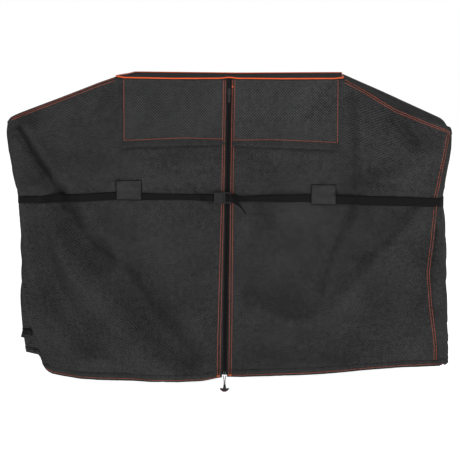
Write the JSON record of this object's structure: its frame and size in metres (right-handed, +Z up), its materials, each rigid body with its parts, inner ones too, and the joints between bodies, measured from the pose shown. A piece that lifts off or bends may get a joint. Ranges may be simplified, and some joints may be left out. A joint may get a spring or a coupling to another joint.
{
  "type": "grill cover",
  "caption": "Fitted fabric cover for a flat-top grill: flat top, sloping shoulders, straight skirt, front zip under a waist belt, two vent flaps and a hem drawcord.",
  "frame": {"origin": "centre of the underside of the top panel, where the cover rests on the closed grill's hood", "axes": "+X to the right seen from the front, +Y from front to back, +Z up; the front with the zip faces -Y"},
  "size_m": [1.67, 0.6555, 1.2069],
  "materials": {
    "cover_fabric": "matte",
    "vent_mesh": "matte",
    "orange_piping": "satin",
    "zip_tape": "matte",
    "webbing": "satin",
    "drawcord": "matte",
    "black_nylon": "satin",
    "orange_plastic": "satin",
    "black_enamelled_metal": "satin",
    "spring_steel": "satin"
  },
  "bodies": {
    "cover": {"back_hem": "cover_fabric", "back_panel": "cover_fabric", "belt_buckle_socket": "black_nylon", "drawcord": "drawcord", "left_belt_patch": "cover_fabric", "left_belt_webbing": "webbing", "left_front_hem": "cover_fabric", "left_front_panel": "cover_fabric", "left_front_strap": "webbing", "left_rear_strap": "webbing", "left_shoulder_panel": "cover_fabric", "left_side_hem": "cover_fabric", "left_side_panel": "cover_fabric", "left_strap_buckle_socket": "black_nylon", "left_vent_flap": "cover_fabric", "left_vent_mesh": "vent_mesh", "left_zip_tape": "zip_tape", "left_zip_teeth": "black_nylon", "right_belt_patch": "cover_fabric", "right_belt_webbing": "webbing", "right_front_hem": "cover_fabric", "right_front_panel": "cover_fabric", "right_front_strap": "webbing", "right_rear_strap": "webbing", "right_shoulder_panel": "cover_fabric", "right_side_hem": "cover_fabric", "right_side_panel": "cover_fabric", "right_strap_buckle_socket": "black_nylon", "right_vent_flap": "cover_fabric", "right_vent_mesh": "vent_mesh", "right_zip_tape": "zip_tape", "right_zip_teeth": "black_nylon", "top_panel": "cover_fabric", "top_piping": "orange_piping", "zip_box": "black_nylon", "zip_garage": "cover_fabric", "zip_pin": "black_nylon", "zip_top_stops": "black_enamelled_metal"},
    "slider": {"zip_slider": "black_enamelled_metal"},
    "pull_tab": {"zip_pull_tab": "black_enamelled_metal"},
    "belt_plug": {"belt_buckle_plug": "black_nylon", "belt_tail": "webbing"},
    "belt_upper_arm": {"belt_buckle_upper_arm": "black_nylon"},
    "belt_lower_arm": {"belt_buckle_lower_arm": "black_nylon"},
    "left_strap_plug": {"left_strap_buckle_plug": "black_nylon", "left_strap_tail": "webbing"},
    "left_strap_upper_arm": {"left_strap_buckle_upper_arm": "black_nylon"},
    "left_strap_lower_arm": {"left_strap_buckle_lower_arm": "black_nylon"},
    "right_strap_plug": {"right_strap_buckle_plug": "black_nylon", "right_strap_tail": "webbing"},
    "right_strap_upper_arm": {"right_strap_buckle_upper_arm": "black_nylon"},
    "right_strap_lower_arm": {"right_strap_buckle_lower_arm": "black_nylon"},
    "cord_lock": {"left_cord_end": "drawcord", "right_cord_end": "drawcord", "cord_lock_body": "black_nylon", "cord_lock_spring": "spring_steel"},
    "lock_button": {"cord_lock_button": "orange_plastic"}
  },
  "joints": [
    {"name": "zip_slide", "type": "slide", "parent": "cover", "child": "slider", "axis": [-0.0166, 0, -0.9999], "range_m": [0, 1.055], "deforming": ["left_zip_teeth", "right_zip_teeth"]},
    {"name": "pull_tab_hinge", "type": "hinge", "parent": "slider", "child": "pull_tab", "pos_m": [-0.00033, -0.3067, -0.05396], "axis": [-0.9999, 0, 0.0166], "range_deg": [0, 170]},
    {"name": "belt_buckle_slide", "type": "slide", "parent": "cover", "child": "belt_plug", "axis": [1, 0, 0], "range_m": [0, 0.045], "deforming": ["right_belt_webbing", "belt_buckle_upper_arm", "belt_buckle_lower_arm"]},
    {"name": "belt_upper_latch", "type": "hinge", "parent": "belt_plug", "child": "belt_upper_arm", "pos_m": [-0.0219, -0.316, -0.4314], "axis": [0, 1, 0], "range_deg": [0, 8], "stiffness_Nm_per_rad": 0.2},
    {"name": "belt_lower_latch", "type": "hinge", "parent": "belt_plug", "child": "belt_lower_arm", "pos_m": [-0.0219, -0.316, -0.4646], "axis": [0, -1, 0], "range_deg": [0, 8], "stiffness_Nm_per_rad": 0.2},
    {"name": "left_strap_buckle_slide", "type": "slide", "parent": "cover", "child": "left_strap_plug", "axis": [0, 1, 0], "range_m": [0, 0.045], "deforming": ["left_rear_strap", "left_strap_buckle_upper_arm", "left_strap_buckle_lower_arm"]},
    {"name": "left_strap_upper_latch", "type": "hinge", "parent": "left_strap_plug", "child": "left_strap_upper_arm", "pos_m": [-0.805, 0.0001, -1.0031], "axis": [1, 0, 0], "range_deg": [0, 8], "stiffness_Nm_per_rad": 0.2},
    {"name": "left_strap_lower_latch", "type": "hinge", "parent": "left_strap_plug", "child": "left_strap_lower_arm", "pos_m": [-0.805, 0.0001, -0.9769], "axis": [-1, 0, 0], "range_deg": [0, 8], "stiffness_Nm_per_rad": 0.2},
    {"name": "right_strap_buckle_slide", "type": "slide", "parent": "cover", "child": "right_strap_plug", "axis": [0, 1, 0], "range_m": [0, 0.045], "deforming": ["right_rear_strap", "right_strap_buckle_upper_arm", "right_strap_buckle_lower_arm"]},
    {"name": "right_strap_upper_latch", "type": "hinge", "parent": "right_strap_plug", "child": "right_strap_upper_arm", "pos_m": [0.805, 0.0001, -0.9769], "axis": [-1, 0, 0], "range_deg": [0, 8], "stiffness_Nm_per_rad": 0.2},
    {"name": "right_strap_lower_latch", "type": "hinge", "parent": "right_strap_plug", "child": "right_strap_lower_arm", "pos_m": [0.805, 0.0001, -1.0031], "axis": [1, 0, 0], "range_deg": [0, 8], "stiffness_Nm_per_rad": 0.2},
    {"name": "cord_lock_swing", "type": "hinge", "parent": "cover", "child": "cord_lock", "pos_m": [-0.01827, -0.298, -1.136], "axis": [1, 0, 0], "range_deg": [-70, 70]},
    {"name": "lock_button_press", "type": "slide", "parent": "cord_lock", "child": "lock_button", "axis": [0, 0, 1], "range_m": [0, 0.0035], "stiffness_N_per_m": 400, "deforming": ["cord_lock_spring"]}
  ]
}
